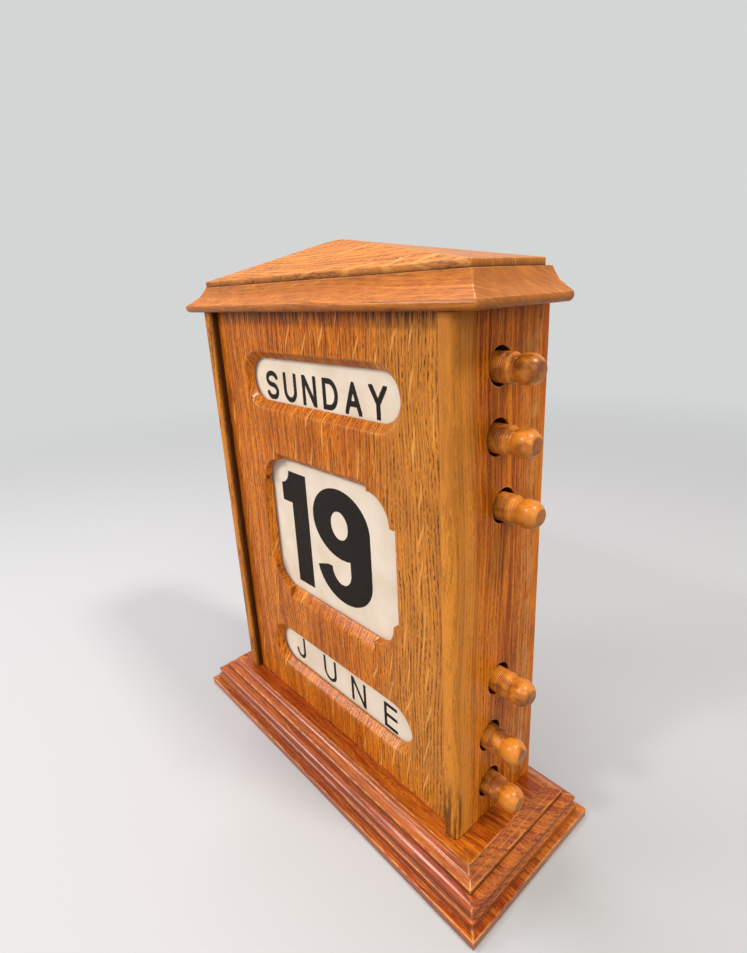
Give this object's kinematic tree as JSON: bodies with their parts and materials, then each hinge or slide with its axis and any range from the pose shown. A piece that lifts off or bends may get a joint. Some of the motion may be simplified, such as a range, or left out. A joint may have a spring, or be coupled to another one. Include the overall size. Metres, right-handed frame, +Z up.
{
  "type": "perpetual desk calendar",
  "caption": "Wooden perpetual desk calendar whose weekday, date and month bands wind between pairs of knobbed rollers behind bevelled windows.",
  "frame": {"origin": "middle of the underside of the base", "axes": "+X to the right, towards the knobs, +Y to the back, +Z up"},
  "size_m": [0.247, 0.0952, 0.3],
  "materials": {
    "oak": "honey varnished quarter-sawn oak",
    "oak_panel": "honey varnished quarter-sawn oak with ray fleck",
    "knob_wood": "turned and varnished",
    "plain_wood": "bare planed wood",
    "band_paper": "linen-backed cream paper",
    "brass": "dulled brass",
    "steel": "plain steel"
  },
  "bodies": {
    "case": {"base_board": "oak", "left_side": "oak", "right_side": "oak", "front_panel": "oak_panel", "back_board": "oak", "cornice_board": "oak", "roof_slab": "oak", "left_bearing_batten": "plain_wood", "right_bearing_batten": "plain_wood", "day_guide_board": "plain_wood", "date_guide_board": "plain_wood", "month_guide_board": "plain_wood", "day_band": "band_paper", "date_band": "band_paper", "month_band": "band_paper", "back_screws": "brass", "base_screws": "steel", "cornice_screws": "steel", "guide_pins": "steel"},
    "day_upper_roller_set": {"day_upper_roller": "plain_wood", "day_upper_coil": "band_paper", "day_upper_knob": "knob_wood"},
    "day_lower_roller_set": {"day_lower_roller": "plain_wood", "day_lower_coil": "band_paper", "day_lower_knob": "knob_wood"},
    "date_upper_roller_set": {"date_upper_roller": "plain_wood", "date_upper_coil": "band_paper", "date_upper_knob": "knob_wood"},
    "date_lower_roller_set": {"date_lower_roller": "plain_wood", "date_lower_coil": "band_paper", "date_lower_knob": "knob_wood"},
    "month_upper_roller_set": {"month_upper_roller": "plain_wood", "month_upper_coil": "band_paper", "month_upper_knob": "knob_wood"},
    "month_lower_roller_set": {"month_lower_roller": "plain_wood", "month_lower_coil": "band_paper", "month_lower_knob": "knob_wood"}
  },
  "joints": [
    {"name": "day_upper_turn", "type": "hinge", "parent": "case", "child": "day_upper_roller_set", "pos_m": [0, 0.0001, 0.24522], "axis": [-1, 0, 0], "range_deg": [0, 1628]},
    {"name": "day_lower_turn", "type": "hinge", "parent": "case", "child": "day_lower_roller_set", "pos_m": [0, -0.0006, 0.21692], "axis": [-1, 0, 0], "range_deg": [0, 1628]},
    {"name": "date_upper_turn", "type": "hinge", "parent": "case", "child": "date_upper_roller_set", "pos_m": [0, 0.0041, 0.1861], "axis": [-1, 0, 0], "range_deg": [-7849, 5233]},
    {"name": "date_lower_turn", "type": "hinge", "parent": "case", "child": "date_lower_roller_set", "pos_m": [0, 0.0033, 0.0987], "axis": [-1, 0, 0], "range_deg": [-7849, 5233]},
    {"name": "month_upper_turn", "type": "hinge", "parent": "case", "child": "month_upper_roller_set", "pos_m": [0, -0.0025, 0.06904], "axis": [-1, 0, 0], "range_deg": [-1279, 1535]},
    {"name": "month_lower_turn", "type": "hinge", "parent": "case", "child": "month_lower_roller_set", "pos_m": [0, -0.0026, 0.04074], "axis": [-1, 0, 0], "range_deg": [-1279, 1535]}
  ],
  "couplings": [
    {"joint": "day_lower_turn", "follows": "day_upper_turn", "ratio": 1},
    {"joint": "date_lower_turn", "follows": "date_upper_turn", "ratio": 1},
    {"joint": "month_lower_turn", "follows": "month_upper_turn", "ratio": 1}
  ]
}
